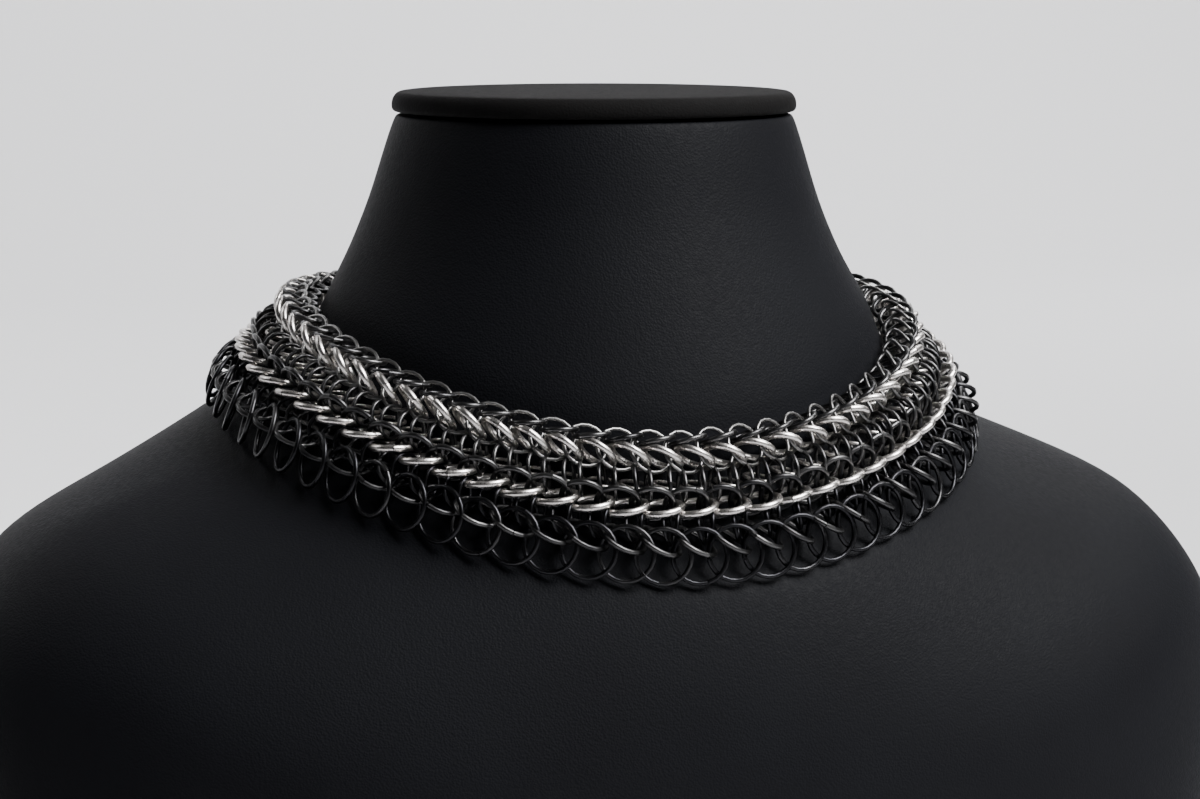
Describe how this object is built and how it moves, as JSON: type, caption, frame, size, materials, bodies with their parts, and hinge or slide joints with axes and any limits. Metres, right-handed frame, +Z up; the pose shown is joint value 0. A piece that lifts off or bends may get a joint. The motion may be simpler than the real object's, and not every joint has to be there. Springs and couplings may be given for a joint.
{
  "type": "chainmail collar on a dress form",
  "caption": "Wide chainmail collar of bright and dark rings, fastened behind the neck with a tube clasp, lying on a smooth black limbless bust form.",
  "frame": {"origin": "centre of the form's flat base, at the middle of the part's bounding box", "axes": "+Z up, -Y out of the form's chest, +X towards the form's left shoulder"},
  "size_m": [0.378, 0.23, 0.2964],
  "materials": {
    "form_cover": "black leatherette with a fine pebble grain and a soft sheen",
    "cap_cover": "black leatherette, drawn tight over the cap",
    "bright_steel": "bright drawn steel wire",
    "dark_steel": "dark grey plated steel wire",
    "clasp_steel": "satin steel tube"
  },
  "bodies": {
    "root": {"form_body": "form_cover", "form_cap": "cap_cover", "collar_upper_band": "bright_steel", "collar_link_row": "dark_steel", "collar_middle_band": "bright_steel", "collar_hem_band": "dark_steel", "clasp_outer_tube": "clasp_steel", "clasp_inner_rod": "clasp_steel"}
  },
  "joints": []
}
